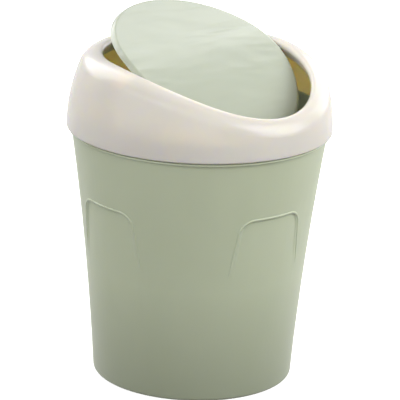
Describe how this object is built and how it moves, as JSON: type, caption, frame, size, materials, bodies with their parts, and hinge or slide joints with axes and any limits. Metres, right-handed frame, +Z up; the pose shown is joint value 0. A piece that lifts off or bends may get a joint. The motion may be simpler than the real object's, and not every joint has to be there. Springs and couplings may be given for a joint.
{
  "type": "countertop swing-lid trash can",
  "caption": "Small round countertop trash can: tapered bin with grip panels, lift-off domed collar and a bent lid that swings in its sloping mouth.",
  "frame": {"origin": "centre of the foot ring, on the surface the bin stands on", "axes": "+Z up along the bin's axis; -Y is the front, where the mouth is low; +X runs along the lid's pins, to the right of someone who faces the front"},
  "size_m": [0.1412, 0.1412, 0.1949],
  "materials": {
    "bin_green": "satin injection-moulded polypropylene",
    "collar_cream": "glossy cream-white moulded plastic",
    "lid_green": "semi-gloss injection-moulded polypropylene"
  },
  "bodies": {
    "bin": {"bin_body": "bin_green"},
    "collar": {"collar": "collar_cream"},
    "lid": {"swing_lid": "lid_green"}
  },
  "joints": [
    {"name": "collar_lift", "type": "slide", "parent": "bin", "child": "collar", "axis": [0, 0, 1], "range_m": [0, 0.06]},
    {"name": "lid_swing", "type": "hinge", "parent": "collar", "child": "lid", "pos_m": [0, -0.00465, 0.17107], "axis": [1, 0, 0], "range_deg": [-102, 58]}
  ]
}
